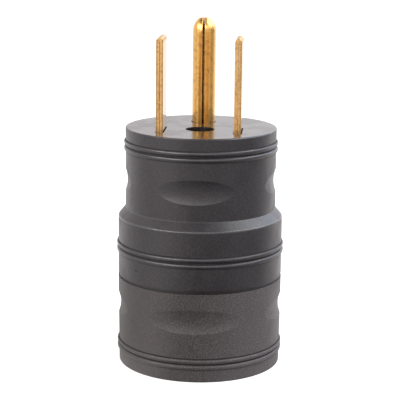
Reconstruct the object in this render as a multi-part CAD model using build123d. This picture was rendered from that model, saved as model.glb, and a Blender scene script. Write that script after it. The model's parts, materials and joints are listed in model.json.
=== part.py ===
from build123d import *
import os
from math import atan, sqrt, tan

# Round barrel plug adapter, standing on the rim of its socket end with the pins up.
# Origin: centre of the resting rim. +Z runs up the barrel, -Y is the side of the two flat blades.
# All sizes are millimetres.

# Barrel heights, stacked from the resting rim up to the face that carries the pins
socket_height = 29.9
collar_height = 20.6
cone_height = 2.9
grip_height = 27.1

# Barrel radius at the resting rim, the steps from it to the other barrels, and the walls
socket_rim_radius = 27.43
socket_draft = 0.27
collar_step = 0.25
cone_step = 2.41
wall = 2.6
face_thickness = 3.4
edge_round = 0.4
cone_round = 0.5
parting_bevel_depth = 0.25
parting_bevel_height = 1.3

# Double-bead bands, each placed by the height of its middle
bead_width = 1.7
bead_height = 0.56
bead_pitch = 2.05
grip_band_drop = 6.0
collar_band_rise = 10.3
socket_band_rise = 6.1

# Finger dimples, four round each barrel: one tool cuts both rings, so they come out wider on the socket
dimple_count = 4
dimple_depth = 0.76
dimple_width = 24.8
dimple_height = 8.1
grip_dimple_rise = 9.6
socket_dimple_rise = 20.35

# Half-lap joint between the two housings, with a key that lines them up
lap_height = 3.0
lap_wall = 1.2
lap_clearance = 0.2
key_width = 4.0
key_clearance = 0.3

# Flat blades, each a strip folded over at the tip
blade_spacing = 25.4
blade_offset = 8.0
blade_width = 12.0
blade_thickness = 2.3
blade_seam = 0.14
blade_length = 30.7
blade_corner = 0.35
slot_clearance = 0.3

# Ground pin, rolled from sheet with a slit down its front
pin_offset = 10.8
pin_diameter = 7.76
pin_wall = 1.1
pin_slit = 0.65
pin_slit_round = 0.22
pin_length = 35.35
pin_dome_height = 4.5
pin_tip_radius = 1.5
pin_tip_round = 0.8
pin_tip_gap = 0.2
pin_tip_gap_depth = 2.4
pin_neck_depth = 0.3
pin_foot_radius = 5.2

# Blade shoulders and pin foot bear on the face from inside; a carrier plate holds them there
shoulder_reach = 1.5
shoulder_height = 1.6
carrier_thickness = 3.0
carrier_clearance = 0.3
carrier_screw_x = 13.0
carrier_screw_y = 8.0
carrier_boss_radius = 2.8

# Tails of blades and pin, tabs of the contacts, and the links between them
tail_width = 5.0
tail_length = 14.0
link_offset = 4.2
link_width = 7.0
link_thickness = 1.2
link_bend_height = 5.0
rivet_radius = 1.5
rivet_head_radius = 2.6
rivet_head_height = 1.0
rivet_crown_radius = 1.5
rivet_edge = 3.5
rivet_clearance = 0.05

# Screw well in the face, the post below it and the assembly screw
well_offset = 5.5
well_diameter = 9.6
well_wall = 1.8
well_depth = 36.0
well_floor = 3.0
post_radius = 4.5
screw_radius = 2.0
screw_length = 11.0
screw_head_radius = 3.8
screw_head_height = 2.8
washer_radius = 4.4
washer_thickness = 0.8
insert_radius = 2.8
insert_length = 8.0
hole_clearance = 0.3
thread_clearance = 0.05

# Small screws of the two plates
small_screw_radius = 1.25
small_screw_length = 6.5
small_head_radius = 2.4
small_head_height = 1.6
small_hole_spare = 0.8

# Sloped edge and cross recess of every screw head, as shares of that head's own size
head_edge_share = 0.4
recess_span_share = 1.1
recess_width_share = 0.22
recess_depth_share = 0.6

# Socket face, sunk a little inside the rim, with its slots and round hole
rim_width = 2.7
face_recess = 0.8
socket_floor = 3.7
line_slot_spacing = 28.4
neutral_slot_offset = 16.4
ground_hole_offset = 16.0
slot_length = 13.0
neutral_slot_length = 11.4
slot_width = 2.8
ground_hole_diameter = 8.2
lead_in = 0.5

# Spring contacts in their cells
contact_sheet = 0.8
contact_depth = 16.5
contact_root_gap = 2.8
contact_pinch_gap = 1.7
contact_mouth_gap = 3.6
contact_pinch_rise = 4.5
contact_width = 13.4
neutral_contact_width = 11.0
sleeve_bore_radius = 3.55
sleeve_slit = 1.0
sleeve_slit_height = 9.0
sleeve_root_height = 4.0
cell_clearance = 0.3
cell_wall = 1.5
seat_clearance = 0.2
tab_length = 9.0

# Plate over the contact cells
retainer_thickness = 2.5
retainer_screw_x = 5.5
retainer_screw_y = 4.0
retainer_boss_radius = 2.6

# Levels and radii that follow from the sizes above
cone_foot = socket_height + collar_height
cone_top = cone_foot + cone_height
face_level = cone_top + grip_height
face_under = face_level - face_thickness
carrier_top = face_under - shoulder_height
carrier_bottom = carrier_top - carrier_thickness
tail_bottom = carrier_bottom - tail_length
well_bottom = face_level - well_depth
post_top = well_bottom - well_floor
socket_top_radius = socket_rim_radius + socket_draft
collar_radius = socket_rim_radius + collar_step
grip_radius = collar_radius - cone_step
dimple_floor_drop = grip_radius - sqrt(grip_radius**2 - (dimple_width / 2) ** 2) - dimple_depth
dimple_floor_radius = ((dimple_width / 2) ** 2 + dimple_floor_drop**2) / (2 * dimple_floor_drop)
dimple_upright_radius = ((dimple_height / 2) ** 2 + dimple_depth**2) / (2 * dimple_depth)
collar_bore = collar_radius - wall
grip_bore = grip_radius - wall
socket_bore = socket_rim_radius - wall
lap_outer = socket_bore + lap_wall
lap_rebate = lap_outer + lap_clearance
well_radius = well_diameter / 2
pin_radius = pin_diameter / 2
ground_hole_radius = ground_hole_diameter / 2
socket_floor_top = face_recess + socket_floor
cell_top = socket_floor_top + contact_depth
retainer_top = cell_top + retainer_thickness
tab_top = retainer_top + tab_length
upper_rivet_level = tail_bottom + rivet_edge
lower_rivet_level = tab_top - rivet_edge
blade_x = blade_spacing / 2
blade_sheet = (blade_thickness - blade_seam) / 2
blade_inner_face = blade_x - blade_thickness / 2
line_contact_x = line_slot_spacing / 2
line_tab_face = line_contact_x - contact_root_gap / 2 - contact_sheet
pin_tail_face = pin_offset + pin_radius - pin_wall
sleeve_radius = sleeve_bore_radius + contact_sheet
ground_tab_face = ground_hole_offset - sleeve_radius
well_place = (0, -well_offset)
pin_place = (0, pin_offset)
ground_place = (0, ground_hole_offset)
carrier_screw_places = [(side * carrier_screw_x, carrier_screw_y) for side in (-1, 1)]
retainer_screw_places = [(side * retainer_screw_x, retainer_screw_y) for side in (-1, 1)]
from_floor = (Align.CENTER, Align.CENTER, Align.MIN)


def rod(radius, bottom, top, place=(0, 0)):
    """Upright cylinder between two heights."""
    return Pos(place[0], place[1], bottom) * Cylinder(radius, top - bottom, align=from_floor)


def block(size_x, size_y, bottom, top, place=(0, 0)):
    """Upright box between two heights."""
    return Pos(place[0], place[1], bottom) * Box(size_x, size_y, top - bottom, align=from_floor)


def panel(left, right, bottom, top):
    """Rectangle given by its sides, drawn flat with height along Y."""
    return Pos(left, bottom) * Rectangle(right - left, top - bottom, align=(Align.MIN, Align.MIN))


def turned(outline):
    """Solid turned about the barrel axis from an outline of radius and height."""
    return revolve(Plane.XZ * outline, Axis.Z)


def corner(outline, radius, height):
    """The vertex of an outline nearest to a given radius and height."""
    return outline.vertices().sort_by_distance((radius, height, 0))[0]


def bead_band(radius, middle):
    """Outline of two round beads that stand out from a barrel of the given radius."""
    arc_radius = ((bead_width / 2) ** 2 + bead_height**2) / (2 * bead_height)
    centre = radius + bead_height - arc_radius
    upper = Pos(centre, middle + bead_pitch / 2) * Circle(arc_radius)
    lower = Pos(centre, middle - bead_pitch / 2) * Circle(arc_radius)
    return upper + lower


def finger_dimples(radius, height):
    """Ring of saddle-shaped cutters: each leaves an oval dimple in a barrel of the given radius."""
    centre = radius - dimple_depth - dimple_floor_radius
    cutter = Pos(centre, 0, height) * Torus(dimple_floor_radius + dimple_upright_radius, dimple_upright_radius)
    return [Rot(0, 0, turn * 360 / dimple_count) * cutter for turn in range(dimple_count)]


def plug_shell():
    """Collar, cone and grip barrel of the plug housing, hollow, with its bands and dimples."""
    outline = make_face(
        Polyline(
            (0, socket_height),
            (collar_radius - parting_bevel_depth, socket_height),
            (collar_radius, socket_height + parting_bevel_height),
            (collar_radius, cone_foot),
            (grip_radius, cone_top),
            (grip_radius, face_level),
            (0, face_level),
            close=True,
        )
    )
    outline = fillet(corner(outline, grip_radius, face_level), edge_round)
    outline = fillet(corner(outline, collar_radius, cone_foot), cone_round)
    outline += bead_band(grip_radius, face_level - grip_band_drop)
    outline += bead_band(collar_radius, socket_height + collar_band_rise)
    shell = turned(outline) - finger_dimples(grip_radius, cone_top + grip_dimple_rise)
    # The hollow keeps an even wall past the cone, so its corners sit lower than the outer ones
    cone_shift = wall * tan(atan(cone_step / cone_height) / 2)
    rebate_top = socket_height + lap_height + lap_clearance
    hollow = make_face(
        Polyline(
            (0, socket_height),
            (lap_rebate, socket_height),
            (lap_rebate, rebate_top),
            (collar_bore, rebate_top),
            (collar_bore, cone_foot - cone_shift),
            (grip_bore, cone_top - cone_shift),
            (grip_bore, face_under),
            (0, face_under),
            close=True,
        )
    )
    return shell - turned(hollow)


def plug_housing():
    """Upper moulding: shell, pin face, screw well and the bosses under the face."""
    housing = plug_shell()
    key_middle = (collar_bore + lap_rebate + lap_clearance) / 2
    key_depth = lap_rebate + lap_clearance - collar_bore
    housing += block(key_width, key_depth, socket_height, socket_height + lap_height, (0, key_middle))
    housing += rod(well_radius + well_wall, post_top, face_under, well_place)
    housing -= rod(well_radius, well_bottom, face_level, well_place)
    housing -= rod(screw_radius + hole_clearance, post_top, well_bottom, well_place)
    for place in carrier_screw_places:
        housing += rod(carrier_boss_radius, carrier_top, face_under, place)
        hole_top = carrier_bottom + small_screw_length + thread_clearance
        housing -= rod(small_screw_radius + thread_clearance, carrier_top, hole_top, place)
    slot_x = blade_thickness + 2 * slot_clearance
    slot_y = blade_width + 2 * slot_clearance
    for side in (-1, 1):
        housing -= block(slot_x, slot_y, face_under, face_level, (side * blade_x, -blade_offset))
    housing -= rod(pin_radius + slot_clearance, face_under, face_level, pin_place)
    return housing


def lead_in_slot(size_x, size_y, place):
    """Slot through the socket floor, with a sloped lead-in at the face."""
    through = block(size_x, size_y, face_recess, socket_floor_top, place)
    mouth = Rectangle(size_x + 2 * lead_in, size_y + 2 * lead_in)
    return through + Pos(place[0], place[1], face_recess) * extrude(mouth, lead_in, taper=45)


def lead_in_hole(radius, place):
    """Round hole through the socket floor, with a sloped lead-in at the face."""
    through = rod(radius, face_recess, socket_floor_top, place)
    mouth = Pos(place[0], place[1], face_recess) * Cone(radius + lead_in, radius, lead_in, align=from_floor)
    return through + mouth


def clip_cell_size(width):
    """Size of the pocket that takes a spring clip of the given width."""
    across = contact_mouth_gap + 2 * contact_sheet + 2 * cell_clearance
    return across, width + 2 * cell_clearance


def clip_cells():
    """Pocket size and place of each spring clip: two line clips and the neutral one."""
    line = clip_cell_size(contact_width)
    neutral = clip_cell_size(neutral_contact_width)
    sides = [(line, (side * line_contact_x, 0)) for side in (-1, 1)]
    return sides + [(neutral, (0, -neutral_slot_offset))]


def socket_shell():
    """Drafted barrel of the socket housing: band, dimples, lap and sunk face, hollow above the floor."""
    outline = make_face(
        Polyline(
            (0, 0),
            (socket_rim_radius, 0),
            (socket_top_radius, socket_height),
            (lap_outer, socket_height),
            (lap_outer, socket_height + lap_height),
            (0, socket_height + lap_height),
            close=True,
        )
    )
    outline = fillet(corner(outline, socket_rim_radius, 0), edge_round)
    draft_slope = socket_draft / socket_height
    outline += bead_band(socket_rim_radius + draft_slope * socket_band_rise, socket_band_rise)
    dimple_radius = socket_rim_radius + draft_slope * socket_dimple_rise
    shell = turned(outline) - finger_dimples(dimple_radius, socket_dimple_rise)
    shell -= rod(socket_rim_radius - rim_width, 0, face_recess)
    shell -= rod(socket_bore, socket_floor_top, socket_height + lap_height)
    notch_middle = (socket_bore + lap_outer) / 2
    notch_depth = 2 * (lap_outer - socket_bore)
    notch_width = key_width + 2 * key_clearance
    shell -= block(notch_width, notch_depth, socket_height, socket_height + lap_height, (0, notch_middle))
    return shell


def socket_housing():
    """Lower moulding: shell, contact cells, screw post, plate bosses and the slots of the socket face."""
    housing = socket_shell()
    ground_cell = sleeve_radius + cell_clearance
    for (across, along), place in clip_cells():
        housing += block(across + 2 * cell_wall, along + 2 * cell_wall, socket_floor_top, cell_top, place)
    housing += rod(ground_cell + cell_wall, socket_floor_top, cell_top, ground_place)
    housing += rod(post_radius, socket_floor_top, post_top, well_place)
    for place in retainer_screw_places:
        housing += rod(retainer_boss_radius, socket_floor_top, cell_top, place)
    for (across, along), place in clip_cells():
        housing -= block(across, along, socket_floor_top, cell_top, place)
    housing -= rod(ground_cell, socket_floor_top, cell_top, ground_place)
    tab_pocket = tail_width + 2 * cell_clearance
    tab_place = (0, ground_hole_offset - ground_cell / 2)
    housing -= block(tab_pocket, ground_cell, socket_floor_top, cell_top, tab_place)
    for side in (-1, 1):
        housing -= lead_in_slot(slot_width, slot_length, (side * line_contact_x, 0))
    housing -= lead_in_slot(slot_width, neutral_slot_length, (0, -neutral_slot_offset))
    housing -= lead_in_hole(ground_hole_radius, ground_place)
    insert_seat = post_top - insert_length - hole_clearance
    screw_end = well_bottom + washer_thickness - screw_length - hole_clearance
    housing -= rod(insert_radius + thread_clearance, insert_seat, post_top, well_place)
    housing -= rod(screw_radius + hole_clearance, min(screw_end, insert_seat), post_top, well_place)
    pilot_bottom = retainer_top - small_screw_length - small_hole_spare
    for place in retainer_screw_places:
        housing -= rod(small_screw_radius + thread_clearance, pilot_bottom, cell_top, place)
    return housing


def line_blade():
    """Right-hand blade: strip folded at the tip, shoulders under the face, inner leaf drawn out as a tail."""
    tip = face_level + blade_length
    half = blade_thickness / 2
    fold_centre = tip - half
    fold = panel(-half, half, tail_bottom, fold_centre) + Pos(0, fold_centre) * Circle(half)
    seam = panel(-blade_seam / 2, blade_seam / 2, tail_bottom, fold_centre)
    seam += Pos(0, fold_centre) * Circle(blade_seam / 2)
    outer_leaf_end = panel(-blade_seam / 2, half, tail_bottom, carrier_top)
    leaves = fold - seam - outer_leaf_end
    side = panel(-blade_width / 2, blade_width / 2, carrier_top, tip)
    for end in (-1, 1):
        side = fillet(corner(side, end * blade_width / 2, tip), blade_corner)
    shoulder = blade_width / 2 + shoulder_reach
    side += panel(-shoulder, shoulder, carrier_top, face_under)
    tail_centre = blade_offset - link_offset
    side += panel(tail_centre - tail_width / 2, tail_centre + tail_width / 2, tail_bottom, carrier_top)
    blade = extrude(Plane.XZ * leaves, shoulder, both=True) & extrude(Plane.YZ * side, half, both=True)
    blade = Pos(blade_x, -blade_offset, 0) * blade
    return blade - rivet_hole(blade_inner_face + blade_sheet / 2, -link_offset, upper_rivet_level)


def rivet_hole(across, along, level):
    """Hole along X through one leaf of sheet or a link."""
    hole = Cylinder(rivet_radius + rivet_clearance, 2 * link_thickness)
    return Pos(across, along, level) * Rot(0, 90, 0) * hole


def ground_pin():
    """Rolled pin: domed tip, neck and turned-out foot at the face, slit down its front, flat tail."""
    tip = face_level + pin_length
    dome_base = tip - pin_dome_height
    neck_radius = pin_radius - pin_neck_depth
    bore_radius = pin_radius - pin_wall
    outer = Polyline(
        (0, tip),
        (0, carrier_top),
        (pin_foot_radius, carrier_top),
        (pin_foot_radius, face_under),
        (neck_radius, face_under),
        (neck_radius, face_level),
        (pin_radius, face_level),
        (pin_radius, dome_base),
    )
    dome = TangentArc((pin_radius, dome_base), (pin_tip_radius, tip), tangent=(0, 1))
    outline = make_face([*outer.edges(), dome, Line((pin_tip_radius, tip), (0, tip))])
    outline = fillet(corner(outline, pin_tip_radius, tip), pin_tip_round)
    pin = turned(outline)
    pin -= block(pin_slit, 2 * pin_foot_radius, carrier_top, tip, (0, -pin_foot_radius))
    slit_lips = pin.faces().filter_by(Axis.X).edges().filter_by(
        lambda edge: edge.center().Z > face_level and edge.center().Y < -pin_slit_round
    )
    pin = fillet(slit_lips, pin_slit_round)
    pin -= block(pin_tip_gap, 2 * pin_radius, tip - pin_tip_gap_depth, tip)
    dome_hollow = Cone(bore_radius, pin_tip_radius / 2, pin_dome_height - pin_wall, align=from_floor)
    pin -= rod(bore_radius, carrier_top, dome_base)
    pin -= Pos(0, 0, dome_base) * dome_hollow
    tail_place = (0, pin_radius - pin_wall / 2)
    pin += block(tail_width, pin_wall, tail_bottom, face_under, tail_place)
    pin = Pos(0, pin_offset, 0) * pin
    return pin - Rot(0, 0, 90) * rivet_hole(pin_tail_face + pin_wall / 2, 0, upper_rivet_level)


def blade_carrier():
    """Plate under the face that carries shoulders and foot, with openings for the tails, well and screws."""
    plate = rod(grip_bore - carrier_clearance, carrier_bottom, carrier_top)
    plate -= rod(well_radius + well_wall + carrier_clearance, carrier_bottom, carrier_top, well_place)
    tail_x = blade_inner_face + blade_sheet / 2
    opening_x = blade_sheet + 2 * slot_clearance
    opening_y = tail_width + 2 * slot_clearance
    for side in (-1, 1):
        plate -= block(opening_x, opening_y, carrier_bottom, carrier_top, (side * tail_x, -link_offset))
    pin_tail_place = (0, pin_tail_face + pin_wall / 2)
    plate -= block(opening_y, pin_wall + 2 * slot_clearance, carrier_bottom, carrier_top, pin_tail_place)
    for place in carrier_screw_places:
        plate -= rod(small_screw_radius + hole_clearance, carrier_bottom, carrier_top, place)
    return plate


def link_strap(upper_face, lower_face):
    """Cranked link drawn along +X: its outer side lies on a pin tail above and on a contact tab below."""
    top = upper_rivet_level + rivet_edge
    bottom = lower_rivet_level - rivet_edge
    middle = (top + bottom) / 2
    bend_top = middle + link_bend_height / 2
    bend_bottom = middle - link_bend_height / 2
    outer = [(upper_face, top), (upper_face, bend_top), (lower_face, bend_bottom), (lower_face, bottom)]
    inner = [(across - link_thickness, level) for across, level in reversed(outer)]
    strap = extrude(Plane.XZ * make_face(Polyline(*outer, *inner, close=True)), link_width / 2, both=True)
    strap -= rivet_hole(upper_face - link_thickness / 2, 0, upper_rivet_level)
    return strap - rivet_hole(lower_face - link_thickness / 2, 0, lower_rivet_level)


def link_rivet(face, sheet, level):
    """Rivet along X that clamps a link, inside the face, to a sheet outside it."""
    grip = link_thickness + sheet
    rivet = Cylinder(rivet_radius, grip)
    head = Cone(rivet_head_radius, rivet_crown_radius, rivet_head_height, align=from_floor)
    rivet += Pos(0, 0, grip / 2) * head
    rivet += Pos(0, 0, -grip / 2) * Rot(180, 0, 0) * head
    return Pos(face + (sheet - link_thickness) / 2, 0, level) * Rot(0, 90, 0) * rivet


def to_right(piece):
    """Place a piece drawn along +X at the right-hand line."""
    return Pos(0, -link_offset, 0) * piece


def to_left(piece):
    """Place a piece drawn along +X at the left-hand line."""
    return Pos(0, -link_offset, 0) * Rot(0, 0, 180) * piece


def to_ground(piece):
    """Place a piece drawn along +X at the ground line."""
    return Rot(0, 0, 90) * piece


def spring_clip(width):
    """Folded clip: two leaves that pinch a plug blade and open out at the mouth, centred on its slot."""
    top = cell_top - seat_clearance
    mouth = socket_floor_top + seat_clearance
    pinch = mouth + contact_pinch_rise
    root = contact_root_gap / 2
    half = make_face(
        Polyline(
            (0, top),
            (root + contact_sheet, top),
            (contact_pinch_gap / 2 + contact_sheet, pinch),
            (contact_mouth_gap / 2 + contact_sheet, mouth),
            (contact_mouth_gap / 2, mouth),
            (contact_pinch_gap / 2, pinch),
            (root, top - contact_sheet),
            (0, top - contact_sheet),
            close=True,
        )
    )
    return extrude(Plane.XZ * (half + mirror(half, Plane.YZ)), width / 2, both=True)


def line_contact():
    """Right-hand line contact: spring clip with a tab that rises to the link."""
    tab_place = (line_tab_face + contact_sheet / 2, -link_offset)
    tab_bottom = cell_top - seat_clearance - contact_sheet
    contact = Pos(line_contact_x, 0, 0) * spring_clip(contact_width)
    contact += block(contact_sheet, tail_width, tab_bottom, tab_top, tab_place)
    return contact - rivet_hole(line_tab_face + contact_sheet / 2, -link_offset, lower_rivet_level)


def neutral_contact():
    """Neutral clip: it only receives a blade, and no link goes to it."""
    return Pos(0, -neutral_slot_offset, 0) * spring_clip(neutral_contact_width)


def ground_contact():
    """Rolled spring sleeve, slit crosswise from its mouth, with a tab that rises to the ground link."""
    top = cell_top - seat_clearance
    mouth = socket_floor_top + seat_clearance
    sleeve = rod(sleeve_radius, mouth, top) - rod(sleeve_bore_radius, mouth, top)
    slit_top = mouth + sleeve_slit_height
    sleeve -= block(sleeve_slit, 2 * sleeve_radius, mouth, slit_top)
    sleeve -= block(2 * sleeve_radius, sleeve_slit, mouth, slit_top)
    tab_place = (0, -sleeve_radius + contact_sheet / 2)
    sleeve += block(tail_width, contact_sheet, top - sleeve_root_height, tab_top, tab_place)
    contact = Pos(0, ground_hole_offset, 0) * sleeve
    return contact - Rot(0, 0, 90) * rivet_hole(ground_tab_face + contact_sheet / 2, 0, lower_rivet_level)


def contact_retainer():
    """Plate over the cells, with openings for the tabs, the post and its two screws."""
    plate = rod(socket_bore - cell_clearance, cell_top, retainer_top)
    plate -= rod(post_radius + cell_clearance, cell_top, retainer_top, well_place)
    opening_x = contact_sheet + 2 * slot_clearance
    opening_y = tail_width + 2 * slot_clearance
    tab_x = line_tab_face + contact_sheet / 2
    for side in (-1, 1):
        plate -= block(opening_x, opening_y, cell_top, retainer_top, (side * tab_x, -link_offset))
    plate -= block(opening_y, opening_x, cell_top, retainer_top, (0, ground_tab_face + contact_sheet / 2))
    for place in retainer_screw_places:
        plate -= rod(small_screw_radius + hole_clearance, cell_top, retainer_top, place)
    return plate


def pan_screw(shank_radius, shank_length, head_radius, head_height):
    """Screw with its head's seat at height 0, shank downwards and a cross recess on top."""
    head = Cylinder(head_radius, head_height, align=from_floor)
    head = chamfer(head.edges().group_by(Axis.Z)[-1], head_height * head_edge_share)
    screw = head + rod(shank_radius, -shank_length, 0)
    recess_bottom = head_height * (1 - recess_depth_share)
    long_side = head_radius * recess_span_share
    short_side = head_radius * recess_width_share
    screw -= block(long_side, short_side, recess_bottom, head_height)
    return screw - block(short_side, long_side, recess_bottom, head_height)


def small_screw():
    """Screw of either inner plate."""
    return pan_screw(small_screw_radius, small_screw_length, small_head_radius, small_head_height)


def carrier_screws():
    """Two screws driven upwards through the carrier into the bosses under the face."""
    screw = Rot(180, 0, 0) * small_screw()
    return Compound([Pos(x, y, carrier_bottom) * screw for x, y in carrier_screw_places])


def retainer_screws():
    """Two screws driven down through the retainer into the socket housing."""
    return Compound([Pos(x, y, retainer_top) * small_screw() for x, y in retainer_screw_places])


def assembly_screw():
    """Screw at the bottom of the well that pulls the two housings together."""
    screw = pan_screw(screw_radius, screw_length, screw_head_radius, screw_head_height)
    return Pos(0, -well_offset, well_bottom + washer_thickness) * screw


def screw_washer():
    """Washer between the screw head and the floor of the well."""
    top = well_bottom + washer_thickness
    ring = rod(washer_radius, well_bottom, top, well_place)
    return ring - rod(screw_radius + hole_clearance, well_bottom, top, well_place)


def threaded_insert():
    """Brass bush in the post that the assembly screw bites into."""
    bottom = post_top - insert_length
    bush = rod(insert_radius, bottom, post_top, well_place)
    return bush - rod(screw_radius + thread_clearance, bottom, post_top, well_place)


line_strap = link_strap(blade_inner_face, line_tab_face)
blade_rivet = link_rivet(blade_inner_face, blade_sheet, upper_rivet_level)
contact_rivet = link_rivet(line_tab_face, contact_sheet, lower_rivet_level)
nodes = {
    "plug_housing": plug_housing(),
    "socket_housing": socket_housing(),
    "line_blade_left": mirror(line_blade(), Plane.YZ),
    "line_blade_right": line_blade(),
    "ground_pin": ground_pin(),
    "blade_carrier": blade_carrier(),
    "carrier_screws": carrier_screws(),
    "line_strap_left": to_left(line_strap),
    "line_strap_right": to_right(line_strap),
    "ground_strap": to_ground(link_strap(pin_tail_face, ground_tab_face)),
    "blade_rivet_left": to_left(blade_rivet),
    "blade_rivet_right": to_right(blade_rivet),
    "ground_pin_rivet": to_ground(link_rivet(pin_tail_face, pin_wall, upper_rivet_level)),
    "contact_rivet_left": to_left(contact_rivet),
    "contact_rivet_right": to_right(contact_rivet),
    "ground_contact_rivet": to_ground(link_rivet(ground_tab_face, contact_sheet, lower_rivet_level)),
    "line_contact_left": mirror(line_contact(), Plane.YZ),
    "line_contact_right": line_contact(),
    "neutral_contact": neutral_contact(),
    "ground_contact": ground_contact(),
    "contact_retainer": contact_retainer(),
    "retainer_screws": retainer_screws(),
    "assembly_screw": assembly_screw(),
    "screw_washer": screw_washer(),
    "threaded_insert": threaded_insert(),
}

os.makedirs("parts", exist_ok=True)
for name, shape in nodes.items():
    export_step(shape, f"parts/{name}.step")
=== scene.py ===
import json
from math import cos, radians, sin

import bmesh
import bpy
from mathutils import Matrix, Vector


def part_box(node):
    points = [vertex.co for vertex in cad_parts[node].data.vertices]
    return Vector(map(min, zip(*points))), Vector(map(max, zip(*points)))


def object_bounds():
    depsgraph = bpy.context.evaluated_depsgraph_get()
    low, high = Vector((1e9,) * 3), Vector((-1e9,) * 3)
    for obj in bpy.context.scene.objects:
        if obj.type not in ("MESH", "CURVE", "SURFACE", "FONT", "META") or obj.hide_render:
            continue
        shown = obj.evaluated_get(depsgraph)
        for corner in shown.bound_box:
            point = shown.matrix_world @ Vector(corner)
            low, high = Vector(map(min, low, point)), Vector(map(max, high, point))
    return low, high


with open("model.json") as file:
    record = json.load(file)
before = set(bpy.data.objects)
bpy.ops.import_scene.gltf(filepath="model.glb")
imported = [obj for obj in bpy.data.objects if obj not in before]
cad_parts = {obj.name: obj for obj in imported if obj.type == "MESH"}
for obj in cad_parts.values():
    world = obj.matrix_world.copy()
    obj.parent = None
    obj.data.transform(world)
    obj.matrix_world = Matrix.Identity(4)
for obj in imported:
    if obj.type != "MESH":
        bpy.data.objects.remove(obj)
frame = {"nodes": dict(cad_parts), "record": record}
cad_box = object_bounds()

# The photograph's camera: a square picture, the barrel's axis straight ahead, seen a little from the right
PHOTO_SIDE = 400
FOCAL_PIXELS = 1404.5
SENSOR_WIDTH = 36.0
CAMERA_DISTANCE = 0.4642
CAMERA_HEIGHT = 0.1564
CAMERA_TURN = radians(4.0)
CAMERA_PITCH = radians(12.283)
CAMERA_PAN = radians(0.02)
CAMERA_ROLL = radians(0.6)

# Heights on the barrel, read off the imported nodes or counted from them
MM = 0.001
FACE_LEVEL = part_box("plug_housing")[1].z
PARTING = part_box("plug_housing")[0].z
FLOOR_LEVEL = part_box("socket_housing")[0].z
GRIP_BAND = FACE_LEVEL - 6.0 * MM
COLLAR_BAND = PARTING + 10.3 * MM
CONE_FOOT = PARTING + 20.6 * MM
CONE_TOP = CONE_FOOT + 2.9 * MM
SOCKET_BAND = FLOOR_LEVEL + 6.1 * MM

# Lines along a band of two beads: crests for painted highlights, and painted shade between and beside the
# beads
BEAD_PITCH = 2.05 * MM
BEAD_WIDTH = 1.7 * MM
CREST_LIFT = 0.22 * MM
CREST_HALF = 0.26 * MM
SHADE_HALF = 0.32 * MM
LOW_CORNER_SHADE = 0.5

# Edges and marks of the plug housing, with painted shade on the parting bevel and painted highlights on
# the cone's edges and bead crests: a reach is where a mark is still full and where it is gone
PARTING_BEVEL = 1.3 * MM
BEVEL_REACH = (PARTING + PARTING_BEVEL * 0.6, PARTING + PARTING_BEVEL)
BEVEL_SHADE = 0.45
FOOT_EDGE_REACH = (0.15 * MM, 0.45 * MM)
TOP_EDGE_REACH = (0.10 * MM, 0.35 * MM)
TOP_EDGE_HIGHLIGHT = 0.5
CREST_HIGHLIGHT = 0.55
COLLAR_NICK = (-19.35 * MM, -19.41 * MM, 35.18 * MM)
NICK_REACH = (0.25 * MM, 0.75 * MM)
NICK_DEPTH = 2.0
COLLAR_SCUFF = (-2.43 * MM, -27.30 * MM, 49.34 * MM)
SCUFF_FLATNESS = 4.0
SCUFF_REACH = (0.7 * MM, 1.6 * MM)
SCUFF_GRIME = 0.6
FACE_RISE = (FACE_LEVEL - 0.12 * MM, FACE_LEVEL - 0.02 * MM)

# Finish of the plug housing
PLUG_SATIN = (0.36, 0.44)
PLUG_SHADE_AND_MARK_MATTE = 0.35
FACE_GLOSS = 0.20
CREST_GLOSS = 0.20
PLUG_DRIFT_TONE = 0.15
PLUG_SPECKLE_TONE = 0.9
FACE_GRAIN = 0.35
PLUG_RELIEF = 0.050 * MM

# Finish of the socket housing: relief coarser to the right; painted light makes it paler and more speckled
# to the right, paler at the left and at the foot, and darker higher up
SOCKET_SATIN = (0.50, 0.60)
SOCKET_SHADE_MATTE = 0.30
SOCKET_RELIEF = 0.06 * MM
SPECKLE_LIGHT_SPAN = (-26.0 * MM, 4.0 * MM)
SPECKLE_LIGHT_ENDS = (0.18, 0.43)
RELIEF_SPAN = (-24.0 * MM, 2.0 * MM)
RELIEF_ENDS = (0.45, 1.0)
SOCKET_PAINTED_LIGHT = [
    ("X", (0.0, 16.0 * MM), (0.044, 0.29)),
    ("X", (-14.0 * MM, -4.0 * MM), (0.09, 0.0)),
    ("Z", (FLOOR_LEVEL + 2.0 * MM, FLOOR_LEVEL + 26.0 * MM), (0.055, -0.044)),
]

# Finish of the inner plates
INNER_SATIN = (0.42, 0.52)
INNER_RELIEF = 0.01 * MM

# Finish of the blades: the sheared edges, the fold at the tip and the corners of the edges
BLADE_HALF = 6.0 * MM
CUT_RISE = (BLADE_HALF - 0.10 * MM, BLADE_HALF - 0.02 * MM)
FOLD_DROP = (1.7 * MM, 0.7 * MM)
TORN_SCALE = 1300.0
RIGHT_CORNER_SPAN = (0.70 * MM, 1.05 * MM)
RIGHT_CORNER_DARKENING = 0.75
OUTER_CORNER_SPAN = (0.45 * MM, 0.90 * MM)
OUTER_CORNER_STAIN = 0.35
TORN_STAIN = 0.45
STREAK_STAIN = 0.35
BLADE_ROUGHNESS = (0.12, 0.36)
BLADE_RELIEF = 0.015 * MM

# Finish of the pin and of the plain metal pieces
PATCH_SCALE = 640.0
PATCH_STAIN = 0.7
PIN_PIT_STAIN = 0.6
PIN_ROUGHNESS = (0.22, 0.34)
PIN_RELIEF = 0.010 * MM
METAL_PIT_WEAR = 0.7
METAL_RELIEF = 0.012 * MM

# Where noise begins to show as a mark, and where the mark is full
SPECKLE_RISE = (0.42, 0.66)
DRIFT_RISE = (0.35, 0.65)
STREAK_RISE = (0.36, 0.64)
PIT_RISE = (0.60, 0.72)
PATCH_RISE = (0.50, 0.64)
TORN_RISE = (0.45, 0.60)
STREAK_STRETCH = (1.0, 1.0, 0.03)
PIT_DEPTH = 0.6

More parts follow.
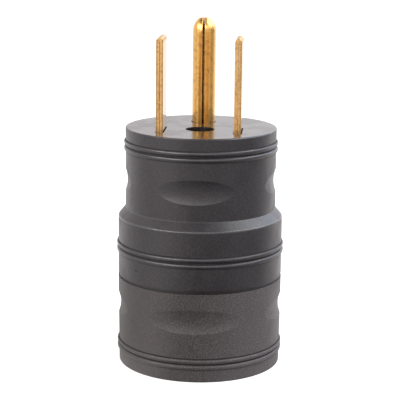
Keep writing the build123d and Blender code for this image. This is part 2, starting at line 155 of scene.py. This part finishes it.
# Colours, in linear light
PLUG_GREY = (0.0140, 0.0116, 0.0138, 1.0)
PLUG_GREY_PALE = (0.0290, 0.0253, 0.0287, 1.0)
# Painted highlight grey for the bead crests and the cone's edges
PLUG_GREY_HIGHLIGHT = (0.062, 0.058, 0.063, 1.0)
SOCKET_GREY = (0.0263, 0.0203, 0.0194, 1.0)
SOCKET_GREY_PALE = (0.150, 0.133, 0.138, 1.0)
# Near-black for painted shade beside the beads and on the bevel, and for the nick and scuff
SHADE_AND_MARK_DARK = (0.006, 0.005, 0.006, 1.0)
BRASS = (0.67, 0.393, 0.114, 1.0)
BRASS_BROWN = (0.41, 0.226, 0.094, 1.0)
BRASS_FOLD = (0.47, 0.275, 0.055, 1.0)
BRASS_CUT = (0.78, 0.48, 0.19, 1.0)
BRASS_CUT_BROWN = (0.38, 0.21, 0.08, 1.0)
COPPER = (0.76, 0.36, 0.22, 1.0)
COPPER_DARK = (0.42, 0.17, 0.09, 1.0)
STEEL = (0.58, 0.58, 0.60, 1.0)
STEEL_DARK = (0.36, 0.36, 0.38, 1.0)
NATURAL_PLASTIC = (0.66, 0.62, 0.53, 1.0)
NATURAL_PLASTIC_DARK = (0.52, 0.48, 0.40, 1.0)
WHITE = (1.0, 1.0, 1.0, 1.0)

# Light of the room, as tints and as levels where 1 is white paper
ROOM_TINT = (1.0, 0.960, 0.968, 1.0)
COOL_TINT = (0.88, 0.94, 1.09, 1.0)
WALL = 1.05
BACK_WALL = 1.35
BEHIND = 1.22
FRONT_FLOOR = 0.28
CEILING = 0.35
OPEN_LIGHT = 0.52

# Light added to those levels in places, or taken from them
LEFT_SHINE = 0.42
RIGHT_SHINE = 0.30
COOL_SHINE = 2.0
RIGHT_DARK = -0.50
PANEL = 1.9
LEFT_PANEL = 1.4
BACK_FLOOR = -0.20
RIGHT_FLOOR = 0.60
FLOOR_BAND = -0.32
NEAR_FLOOR = 0.20

# The studio floor
FLOOR_RADIUS = 3.0
FLOOR_SEGMENTS = 96
FLOOR_GAP = 0.02 * MM
FLOOR_PAINT = (0.80, 0.80, 0.80, 1.0)
FLOOR_LIFT = 0.62
GLOW_MIDDLE = (0.0, 0.0, 0.05)


def put(tree, kind, sockets, **settings):
    """Add a shader node. A socket given another socket is linked to it, anything else is set."""
    made = tree.nodes.new("ShaderNode" + kind)
    for name, value in settings.items():
        setattr(made, name, value)
    for key, value in sockets.items():
        if isinstance(value, bpy.types.NodeSocket):
            tree.links.new(value, made.inputs[key])
        else:
            made.inputs[key].default_value = value
    return made


def arithmetic(tree, operation, first, second=0.0):
    """One sum on two values."""
    return put(tree, "Math", {0: first, 1: second}, operation=operation).outputs[0]


def weighted(tree, value, amount):
    """Value times an amount."""
    return arithmetic(tree, "MULTIPLY", value, amount)


def total(tree, first, *others):
    """Sum of several values."""
    for other in others:
        first = arithmetic(tree, "ADD", first, other)
    return first


def strongest(tree, first, *others):
    """Greatest of several masks."""
    for other in others:
        first = arithmetic(tree, "MAXIMUM", first, other)
    return first


def away(tree, value, middle):
    """How far a value lies from a middle, on either side."""
    return arithmetic(tree, "ABSOLUTE", arithmetic(tree, "SUBTRACT", value, middle))


def vectors(tree, operation, first, second=(0.0, 0.0, 0.0)):
    """Outputs of one sum on two vectors."""
    return put(tree, "VectorMath", {0: first, 1: second}, operation=operation).outputs


def distance_from(tree, place, point):
    """How far a place lies from a point."""
    return vectors(tree, "DISTANCE", place, point)["Value"]


def between(tree, value, low, high, out_low=0.0, out_high=1.0):
    """Value carried smoothly from one range into another, and held at its ends."""
    sockets = {"Value": value, "From Min": low, "From Max": high, "To Min": out_low, "To Max": out_high}
    return put(tree, "MapRange", sockets, interpolation_type="SMOOTHSTEP").outputs["Result"]


def graded(tree, mask, ends):
    """First end where the mask is 0, second where it is 1."""
    return between(tree, mask, 0.0, 1.0, *ends)


def near(tree, distance, reach, amount=1.0):
    """Mask that is full up to the first distance of its reach and gone at the second."""
    return between(tree, distance, *reach, amount, 0.0)


def colour_between(tree, mask, first, second):
    """First colour where the mask is 0, second where it is 1."""
    return put(tree, "Mix", {0: mask, 6: first, 7: second}, data_type="RGBA").outputs[2]


def noise(tree, vector, scale, detail=2.0, roughness=0.5):
    """Plain noise at so many cells a metre."""
    sockets = {"Vector": vector, "Scale": scale, "Detail": detail, "Roughness": roughness}
    return put(tree, "TexNoise", sockets).outputs[0]


def new_group(name, inputs, outputs):
    """Empty shader group with its sockets, ready for its nodes."""
    group = bpy.data.node_groups.new(name, "ShaderNodeTree")
    for label, kind in inputs.items():
        group.interface.new_socket(name=label, in_out="INPUT", socket_type="NodeSocket" + kind)
    for label, kind in outputs.items():
        group.interface.new_socket(name=label, in_out="OUTPUT", socket_type="NodeSocket" + kind)
    return group, group.nodes.new("NodeGroupInput"), group.nodes.new("NodeGroupOutput")


def mould_skin_group():
    """Skin that a mould leaves on plastic: fine grain in relief, its speckle, and a slow drift of tone."""
    group, given, result = new_group(
        "mould_skin",
        {"Vector": "Vector", "Grain Scale": "Float", "Drift Scale": "Float"},
        {"Relief": "Float", "Speckle": "Float", "Drift": "Float"},
    )
    place = given.outputs["Vector"]
    grain = noise(group, place, given.outputs["Grain Scale"], detail=3.0, roughness=0.55)
    drift = noise(group, place, given.outputs["Drift Scale"])
    group.links.new(grain, result.inputs["Relief"])
    group.links.new(between(group, grain, *SPECKLE_RISE), result.inputs["Speckle"])
    group.links.new(between(group, drift, *DRIFT_RISE), result.inputs["Drift"])
    return group


def drawn_metal_group():
    """Marks of drawing and rolling along the height of a metal piece: streaks and small pits."""
    group, given, result = new_group(
        "drawn_metal",
        {"Vector": "Vector", "Streak Scale": "Float", "Pit Scale": "Float"},
        {"Streak": "Float", "Pits": "Float", "Relief": "Float"},
    )
    place = given.outputs["Vector"]
    stretched = put(group, "Mapping", {"Vector": place, "Scale": STREAK_STRETCH}).outputs[0]
    streak = noise(group, stretched, given.outputs["Streak Scale"], detail=3.0, roughness=0.6)
    pits = noise(group, place, given.outputs["Pit Scale"], detail=2.0, roughness=0.6)
    pit_mask = between(group, pits, *PIT_RISE)
    group.links.new(between(group, streak, *STREAK_RISE), result.inputs["Streak"])
    group.links.new(pit_mask, result.inputs["Pits"])
    group.links.new(total(group, streak, weighted(group, pit_mask, -PIT_DEPTH)), result.inputs["Relief"])
    return group


def bead_lines_group():
    """Lines along a double-bead band: crests for painted highlights, and painted shade between and beside
    the beads.
    """
    group, given, result = new_group(
        "bead_lines", {"Height": "Float", "Band": "Float"}, {"Crest": "Float", "Shade": "Float"}
    )
    offset = arithmetic(group, "SUBTRACT", given.outputs["Height"], given.outputs["Band"])

    def line(middle, half, amount=1.0):
        """Soft line at so high above the band's middle, full over a third of its half width."""
        return near(group, away(group, offset, middle), (half / 3, half), amount)

    corner = (BEAD_PITCH + BEAD_WIDTH) / 2
    upper_crest = line(BEAD_PITCH / 2 + CREST_LIFT, CREST_HALF)
    lower_crest = line(-BEAD_PITCH / 2 + CREST_LIFT, CREST_HALF)
    # Painted shade in the groove between the beads and in the corners beside them
    groove = line(0.0, SHADE_HALF)
    upper_corner = line(corner, SHADE_HALF)
    lower_corner = line(-corner, SHADE_HALF, LOW_CORNER_SHADE)
    group.links.new(strongest(group, upper_crest, lower_crest), result.inputs["Crest"])
    group.links.new(strongest(group, upper_corner, groove, lower_corner), result.inputs["Shade"])
    return group


def studio_glow_group():
    """Light that reflections meet: pale walls, a floor dim in front, panels above it, a dim ceiling."""
    group, given, result = new_group("studio_glow", {"Direction": "Vector"}, {"Glow": "Color"})
    direction = vectors(group, "NORMALIZE", given.outputs["Direction"])[0]
    level = vectors(group, "MULTIPLY", direction, (1.0, 1.0, 0.0))[0]
    level = vectors(group, "NORMALIZE", level)[0]
    rise = put(group, "SeparateXYZ", {0: direction}).outputs["Z"]

    def towards(turn, edge, middle):
        """Mask round a turn from the camera's side: full within the middle angle, gone at the edge."""
        aim = (sin(radians(turn)), -cos(radians(turn)), 0.0)
        facing = vectors(group, "DOT_PRODUCT", level, aim)["Value"]
        return between(group, facing, cos(radians(edge)), cos(radians(middle)))

    def over(none, full):
        """Mask above a height, in degrees from level."""
        return between(group, rise, sin(radians(none)), sin(radians(full)))

    def up_to(full, none):
        """Mask below a height, in degrees from level."""
        return near(group, rise, (sin(radians(full)), sin(radians(none))))

    def lobe(amount, *masks):
        """So much light where all the masks are full."""
        light = amount
        for mask in masks:
            light = weighted(group, mask, light)
        return light

    on_floor = up_to(-11.5, -8.0)
    on_right_floor = up_to(-22.0, -12.0)
    floor_by_barrel = up_to(-64.0, -52.0)
    near_level = up_to(12.0, 35.0)
    band = arithmetic(group, "SUBTRACT", up_to(-32.0, -23.0), floor_by_barrel)
    at_level = arithmetic(group, "SUBTRACT", near_level, on_floor)
    panel = weighted(group, over(21.0, 27.0), up_to(38.0, 45.0))
    raised = weighted(group, over(8.0, 18.0), up_to(50.0, 60.0))
    cool = weighted(group, towards(140, 48, 20), raised)
    room = between(group, rise, sin(radians(43)), sin(radians(58)), WALL, CEILING)
    glow = total(
        group,
        room,
        lobe(BACK_WALL - WALL, towards(180, 95, 60), near_level),
        lobe(FRONT_FLOOR - WALL, towards(40, 85, 45), on_floor),
        lobe(LEFT_SHINE, towards(-48, 28, 10), near_level),
        lobe(BEHIND - BACK_WALL, towards(180, 34, 14), near_level),
        lobe(BACK_FLOOR, towards(180, 60, 25), on_floor),
        lobe(RIGHT_SHINE, towards(146, 30, 12), near_level),
        lobe(COOL_SHINE, cool),
        lobe(RIGHT_DARK, towards(95, 34, 14), at_level),
        lobe(PANEL, towards(0, 110, 80), panel),
        lobe(LEFT_PANEL, towards(-42, 36, 14), panel),
        lobe(RIGHT_FLOOR, towards(80, 50, 20), on_right_floor),
        lobe(FLOOR_BAND, band),
        lobe(NEAR_FLOOR, floor_by_barrel),
    )
    tint = colour_between(group, cool, ROOM_TINT, COOL_TINT)
    tinted = put(group, "Mix", {0: 1.0, 6: glow, 7: tint}, data_type="RGBA", blend_type="MULTIPLY")
    group.links.new(tinted.outputs[2], result.inputs["Glow"])
    return group


MOULD_SKIN = mould_skin_group()
DRAWN_METAL = drawn_metal_group()
BEAD_LINES = bead_lines_group()
STUDIO_GLOW = studio_glow_group()


def new_material(name, metallic=0.0):
    """Material with its shader and the object's own coordinates."""
    material = bpy.data.materials.new(name)
    material.use_nodes = True
    tree = material.node_tree
    shader = tree.nodes["Principled BSDF"]
    shader.inputs["IOR"].default_value = 1.5
    shader.inputs["Metallic"].default_value = metallic
    place = tree.nodes.new("ShaderNodeTexCoord").outputs["Object"]
    return material, tree, shader, place


def add_group(tree, group, sockets):
    """Place a shared group in a material with its own values."""
    return put(tree, "Group", sockets, node_tree=group).outputs


def give_surface(tree, shader, colour, roughness, height, depth):
    """Give a shader its colour, its roughness and a fine relief, whose full range is so deep."""
    bump = put(tree, "Bump", {"Strength": 1.0, "Distance": depth, "Height": height})
    tree.links.new(colour, shader.inputs["Base Color"])
    tree.links.new(roughness, shader.inputs["Roughness"])
    tree.links.new(bump.outputs["Normal"], shader.inputs["Normal"])


def plug_plastic():
    """Smooth satin dark grey of the plug housing: glossier face, painted highlights on the cone's edges
    and bead crests, painted shade beside the beads and on the parting bevel, and two darkened marks.
    """
    material, tree, shader, place = new_material("plug_plastic")
    skin = add_group(tree, MOULD_SKIN, {"Vector": place, "Grain Scale": 1900.0, "Drift Scale": 130.0})
    height = put(tree, "SeparateXYZ", {0: place}).outputs["Z"]
    upper = add_group(tree, BEAD_LINES, {"Height": height, "Band": GRIP_BAND})
    lower = add_group(tree, BEAD_LINES, {"Height": height, "Band": COLLAR_BAND})
    crest = strongest(tree, upper["Crest"], lower["Crest"])
    foot_edge = near(tree, away(tree, height, CONE_FOOT), FOOT_EDGE_REACH)
    top_edge = near(tree, away(tree, height, CONE_TOP), TOP_EDGE_REACH, TOP_EDGE_HIGHLIGHT)
    # Painted highlights along the cone's foot and top edges and on the bead crests
    painted_highlight = strongest(tree, foot_edge, top_edge, weighted(tree, crest, CREST_HIGHLIGHT))
    polished = strongest(tree, crest, foot_edge)

    # Painted shade on the bevel above the parting
    bevel = near(tree, height, BEVEL_REACH, BEVEL_SHADE)
    nick = near(tree, distance_from(tree, place, COLLAR_NICK), NICK_REACH)
    flat = vectors(tree, "MULTIPLY", place, (1.0, 1.0, SCUFF_FLATNESS))[0]
    scuff_middle = (COLLAR_SCUFF[0], COLLAR_SCUFF[1], COLLAR_SCUFF[2] * SCUFF_FLATNESS)
    scuff = near(tree, distance_from(tree, flat, scuff_middle), SCUFF_REACH, SCUFF_GRIME)
    # Painted shade beside the beads and on the bevel, with the darkened nick and scuff
    shade_and_marks = strongest(tree, upper["Shade"], lower["Shade"], bevel, nick, scuff)

    drift_tone = weighted(tree, skin["Drift"], PLUG_DRIFT_TONE)
    tone = total(tree, drift_tone, weighted(tree, skin["Speckle"], PLUG_SPECKLE_TONE))
    grey = colour_between(tree, tone, PLUG_GREY, PLUG_GREY_PALE)
    grey = colour_between(tree, painted_highlight, grey, PLUG_GREY_HIGHLIGHT)
    colour = colour_between(tree, shade_and_marks, grey, SHADE_AND_MARK_DARK)

    on_face = between(tree, height, *FACE_RISE)
    satin = graded(tree, skin["Drift"], PLUG_SATIN)
    matte = total(tree, satin, weighted(tree, shade_and_marks, PLUG_SHADE_AND_MARK_MATTE))
    gloss = total(tree, weighted(tree, on_face, FACE_GLOSS), weighted(tree, polished, CREST_GLOSS))
    roughness = arithmetic(tree, "SUBTRACT", matte, gloss)

    grain = weighted(tree, skin["Relief"], graded(tree, on_face, (1.0, FACE_GRAIN)))
    relief = arithmetic(tree, "SUBTRACT", grain, weighted(tree, nick, NICK_DEPTH))
    give_surface(tree, shader, colour, roughness, relief, PLUG_RELIEF)
    return material


def socket_plastic():
    """Coarser spark-textured dark grey of the socket housing, with painted light: paler and more speckled
    to the right, paler at the left and at the foot; and painted shade along its bead band.
    """
    material, tree, shader, place = new_material("socket_plastic")
    skin = add_group(tree, MOULD_SKIN, {"Vector": place, "Grain Scale": 3000.0, "Drift Scale": 110.0})
    axes = put(tree, "SeparateXYZ", {0: place}).outputs
    # Painted shade beside the socket's beads
    shade_and_marks = add_group(tree, BEAD_LINES, {"Height": axes["Z"], "Band": SOCKET_BAND})["Shade"]

    # Speckle painted brighter towards the right, as painted light on the grain
    speckle_light = between(tree, axes["X"], *SPECKLE_LIGHT_SPAN, *SPECKLE_LIGHT_ENDS)
    # Painted light: paler to the right, at the left and at the foot, darker higher up
    painted_light = [between(tree, axes[axis], *span, *ends) for axis, span, ends in SOCKET_PAINTED_LIGHT]
    tone = total(tree, weighted(tree, skin["Speckle"], speckle_light), *painted_light)
    grey = colour_between(tree, tone, SOCKET_GREY, SOCKET_GREY_PALE)
    colour = colour_between(tree, shade_and_marks, grey, SHADE_AND_MARK_DARK)

    satin = graded(tree, skin["Drift"], SOCKET_SATIN)
    roughness = total(tree, satin, weighted(tree, shade_and_marks, SOCKET_SHADE_MATTE))
    relief = weighted(tree, skin["Relief"], between(tree, axes["X"], *RELIEF_SPAN, *RELIEF_ENDS))
    give_surface(tree, shader, colour, roughness, relief, SOCKET_RELIEF)
    return material


def inner_plastic():
    """Natural off-white of the two inner plates."""
    material, tree, shader, place = new_material("inner_plastic")
    skin = add_group(tree, MOULD_SKIN, {"Vector": place, "Grain Scale": 3000.0, "Drift Scale": 120.0})
    colour = colour_between(tree, skin["Drift"], NATURAL_PLASTIC, NATURAL_PLASTIC_DARK)
    roughness = graded(tree, skin["Drift"], INNER_SATIN)
    give_surface(tree, shader, colour, roughness, skin["Relief"], INNER_RELIEF)
    return material


def bare_metal(name, bright, dull, ends):
    """Metal with drawing streaks along its height, a few pits, and a roughness between two ends."""
    material, tree, shader, place = new_material(name, metallic=1.0)
    marks = add_group(tree, DRAWN_METAL, {"Vector": place, "Streak Scale": 2600.0, "Pit Scale": 2300.0})
    colour = colour_between(tree, weighted(tree, marks["Pits"], METAL_PIT_WEAR), bright, dull)
    roughness = graded(tree, marks["Streak"], ends)
    give_surface(tree, shader, colour, roughness, marks["Relief"], METAL_RELIEF)
    return material


def pin_brass():
    """Rolled sheet of the round pin: fine streaks up its height, pits and soft brown patches."""
    material, tree, shader, place = new_material("pin_brass", metallic=1.0)
    marks = add_group(tree, DRAWN_METAL, {"Vector": place, "Streak Scale": 2400.0, "Pit Scale": 1500.0})
    patches = between(tree, noise(tree, place, PATCH_SCALE, detail=4.0, roughness=0.65), *PATCH_RISE)
    pit_stain = weighted(tree, marks["Pits"], PIN_PIT_STAIN)
    stain = strongest(tree, weighted(tree, patches, PATCH_STAIN), pit_stain)
    colour = colour_between(tree, stain, BRASS, BRASS_BROWN)
    roughness = graded(tree, marks["Streak"], PIN_ROUGHNESS)
    give_surface(tree, shader, colour, roughness, marks["Relief"], PIN_RELIEF)
    return material


def blade_brass():
    """Folded sheet of the flat blades: smooth rolled sides, a duller fold, rough sheared edges."""
    material, tree, shader, place = new_material("blade_brass", metallic=1.0)
    low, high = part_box("line_blade_right")
    axes = put(tree, "SeparateXYZ", {0: place}).outputs
    cut = between(tree, away(tree, axes["Y"], (low.y + high.y) / 2), *CUT_RISE)
    fold = between(tree, axes["Z"], high.z - FOLD_DROP[0], high.z - FOLD_DROP[1])
    marks = add_group(tree, DRAWN_METAL, {"Vector": place, "Streak Scale": 3200.0, "Pit Scale": 1300.0})
    torn = between(tree, noise(tree, place, TORN_SCALE, detail=3.0, roughness=0.65), *TORN_RISE)

    from_axis = arithmetic(tree, "ABSOLUTE", axes["X"])
    outward = arithmetic(tree, "SUBTRACT", from_axis, (low.x + high.x) / 2)
    to_right = weighted(tree, outward, arithmetic(tree, "SIGN", axes["X"]))
    # Each blade's cut edge darker towards its right side
    right_corner = between(tree, to_right, *RIGHT_CORNER_SPAN, 0.0, RIGHT_CORNER_DARKENING)
    outer_corner = between(tree, outward, *OUTER_CORNER_SPAN, 0.0, OUTER_CORNER_STAIN)
    stain = total(
        tree,
        weighted(tree, strongest(tree, torn, marks["Pits"]), TORN_STAIN),
        weighted(tree, marks["Streak"], STREAK_STAIN),
        strongest(tree, right_corner, outer_corner),
    )
    edge = colour_between(tree, stain, BRASS_CUT, BRASS_CUT_BROWN)
    sides = colour_between(tree, fold, BRASS, BRASS_FOLD)
    colour = colour_between(tree, cut, sides, edge)

    roughness = graded(tree, strongest(tree, cut, fold), BLADE_ROUGHNESS)
    relief = weighted(tree, arithmetic(tree, "SUBTRACT", marks["Relief"], torn), cut)
    give_surface(tree, shader, colour, roughness, relief, BLADE_RELIEF)
    return material


FINISHES = {
    "plug_plastic": plug_plastic(),
    "socket_plastic": socket_plastic(),
    "pin_brass": pin_brass(),
    "inner_plastic": inner_plastic(),
    "screw_steel": bare_metal("screw_steel", STEEL, STEEL_DARK, (0.30, 0.42)),
    "link_copper": bare_metal("link_copper", COPPER, COPPER_DARK, (0.28, 0.44)),
    "rivet_brass": bare_metal("rivet_brass", BRASS, BRASS_BROWN, (0.26, 0.40)),
    "contact_brass": bare_metal("contact_brass", BRASS, BRASS_BROWN, (0.24, 0.38)),
}
BLADE_BRASS = blade_brass()


def dress_nodes():
    """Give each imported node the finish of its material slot, and the blades their own brass."""
    for entry in frame["record"]["subparts"]:
        piece = frame["nodes"][entry["node"]]
        piece.data.materials.clear()
        folded = entry["node"].startswith("line_blade")
        piece.data.materials.append(BLADE_BRASS if folded else FINISHES[entry["material_slot"]])


def studio_floor():
    """Wide pale floor: white to the camera, the room's glow to reflections, and it keeps the shadow."""
    shape = bmesh.new()
    bmesh.ops.create_circle(shape, cap_ends=True, segments=FLOOR_SEGMENTS, radius=FLOOR_RADIUS)
    bmesh.ops.translate(shape, verts=shape.verts, vec=(0, 0, FLOOR_LEVEL - FLOOR_GAP))
    mesh = bpy.data.meshes.new("studio_floor")
    shape.to_mesh(mesh)
    shape.free()
    floor = bpy.data.objects.new("studio_floor", mesh)
    bpy.context.scene.collection.objects.link(floor)
    material = bpy.data.materials.new("studio_floor")
    material.use_nodes = True
    tree = material.node_tree
    tree.nodes.clear()
    ray = tree.nodes.new("ShaderNodeLightPath").outputs
    seen = strongest(tree, ray["Is Glossy Ray"], ray["Is Transmission Ray"])
    place = tree.nodes.new("ShaderNodeTexCoord").outputs["Object"]
    from_barrel = vectors(tree, "SUBTRACT", place, GLOW_MIDDLE)[0]
    reflected = add_group(tree, STUDIO_GLOW, {"Direction": from_barrel})["Glow"]
    paint = put(tree, "BsdfDiffuse", {"Color": FLOOR_PAINT})
    lift = put(tree, "Emission", {"Color": weighted(tree, ray["Is Camera Ray"], FLOOR_LIFT)})
    plain = put(tree, "AddShader", {0: paint.outputs[0], 1: lift.outputs[0]})
    shine = put(tree, "Emission", {"Color": reflected})
    shown = put(tree, "MixShader", {0: seen, 1: plain.outputs[0], 2: shine.outputs[0]})
    put(tree, "OutputMaterial", {"Surface": shown.outputs[0]})
    mesh.materials.append(material)


def studio_world():
    """White surround for the camera, the room's glow for reflections, and an even light for the rest."""
    world = bpy.data.worlds.new("studio_world")
    world.use_nodes = True
    tree = world.node_tree
    ray = tree.nodes.new("ShaderNodeLightPath").outputs
    seen = strongest(tree, ray["Is Glossy Ray"], ray["Is Transmission Ray"])
    direction = tree.nodes.new("ShaderNodeTexCoord").outputs["Generated"]
    glow = add_group(tree, STUDIO_GLOW, {"Direction": direction})["Glow"]
    open_light = (OPEN_LIGHT, OPEN_LIGHT, OPEN_LIGHT, 1.0)
    shown = colour_between(tree, seen, open_light, glow)
    shown = colour_between(tree, ray["Is Camera Ray"], shown, WHITE)
    tree.links.new(shown, tree.nodes["Background"].inputs["Color"])
    bpy.context.scene.world = world


def softbox(name, turn, rise, distance, size, power, colour=(1.0, 1.0, 1.0)):
    """Rectangular softbox, so many degrees round from the front and up from level, aimed at the barrel."""
    data = bpy.data.lights.new(name, "AREA")
    data.shape = "RECTANGLE"
    data.size, data.size_y = size
    data.energy = power
    data.color = colour
    lamp = bpy.data.objects.new(name, data)
    aim = Vector((0, 0, (cad_box[0].z + cad_box[1].z) / 2))
    swing = Matrix.Rotation(radians(turn), 4, "Z") @ Matrix.Rotation(radians(-rise), 4, "X")
    place = aim + swing @ Vector((0, -distance, 0))
    facing = (place - aim).to_track_quat("Z", "Y").to_matrix().to_4x4()
    lamp.matrix_world = Matrix.Translation(place) @ facing
    bpy.context.scene.collection.objects.link(lamp)


def studio_lights():
    """One softbox high on the right, one broad and lower on the left, and a strip above the front."""
    cool_white = (0.92, 0.96, 1.0)
    warm_white = (1.0, 0.96, 0.93)
    softbox("lamp_right", turn=95, rise=48, distance=0.75, size=(0.55, 0.50), power=4.2, colour=cool_white)
    softbox("lamp_left", turn=-48, rise=27, distance=0.80, size=(0.60, 0.30), power=3.2, colour=warm_white)
    softbox("lamp_front", turn=-5, rise=36, distance=0.80, size=(0.90, 0.30), power=0.6)


def photo_camera():
    """Camera of the photograph."""
    data = bpy.data.cameras.new("photo_camera")
    data.sensor_width = SENSOR_WIDTH
    data.lens = SENSOR_WIDTH * FOCAL_PIXELS / PHOTO_SIDE
    camera = bpy.data.objects.new("photo_camera", data)
    bpy.context.scene.collection.objects.link(camera)
    camera.matrix_world = (
        Matrix.Rotation(CAMERA_TURN, 4, "Z")
        @ Matrix.Translation((0, -CAMERA_DISTANCE, CAMERA_HEIGHT))
        @ Matrix.Rotation(CAMERA_PAN, 4, "Z")
        @ Matrix.Rotation(radians(90) - CAMERA_PITCH, 4, "X")
        @ Matrix.Rotation(CAMERA_ROLL, 4, "Z")
    )
    bpy.context.scene.camera = camera


dress_nodes()
studio_floor()
studio_world()
studio_lights()
photo_camera()
bpy.context.scene.view_settings.view_transform = "Standard"
